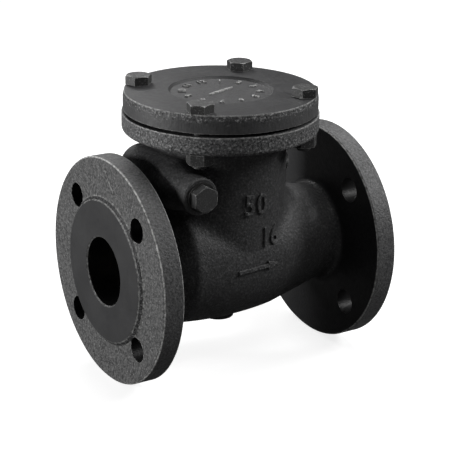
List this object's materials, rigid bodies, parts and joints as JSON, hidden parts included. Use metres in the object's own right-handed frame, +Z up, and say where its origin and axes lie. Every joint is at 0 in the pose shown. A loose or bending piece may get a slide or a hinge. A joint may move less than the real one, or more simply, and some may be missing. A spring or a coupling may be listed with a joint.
{
  "type": "swing check valve",
  "caption": "Flanged cast iron swing check valve with a round bolted cover and a hinged flap that opens with the flow.",
  "frame": {"origin": "centre of the inlet flange's sealing face, on the pipe axis", "axes": "+X along the flow, +Z up through the cover, -Y towards the side of the hinge plug"},
  "size_m": [0.2, 0.165, 0.2099],
  "materials": {
    "cast_body": "sand cast, charcoal paint",
    "cast_cover": "sand cast with faced rim, charcoal paint",
    "cast_arm": "as cast",
    "fasteners": "dark painted steel",
    "steel": "turned",
    "bronze": "turned bronze",
    "facing": "moulded rubber",
    "gasket": "pressed fibre, nearly black"
  },
  "bodies": {
    "housing": {"valve_body": "cast_body", "seat_ring": "bronze", "cover": "cast_cover", "cover_gasket": "gasket", "cover_bolts": "fasteners", "cover_nuts": "fasteners", "pin_bush_near": "bronze", "pin_bush_far": "bronze", "hinge_plug": "fasteners", "plug_washer": "gasket"},
    "flap": {"hinge_arm": "cast_arm", "hinge_pin": "steel", "arm_cross_pin": "steel", "arm_spacer_near": "bronze", "arm_spacer_far": "bronze"},
    "disc_group": {"disc": "cast_arm", "disc_facing": "facing", "facing_retainer": "steel", "disc_stud": "steel", "disc_washer": "steel", "disc_nut": "steel", "disc_split_pin": "steel"}
  },
  "joints": [
    {"name": "flap_swing", "type": "hinge", "parent": "housing", "child": "flap", "pos_m": [0.046, 0, 0.065], "axis": [0, -1, 0], "range_deg": [0, 60]},
    {"name": "disc_spin", "type": "hinge", "parent": "flap", "child": "disc_group", "pos_m": [0.066, 0, 0], "axis": [1, 0, 0], "continuous": true}
  ]
}
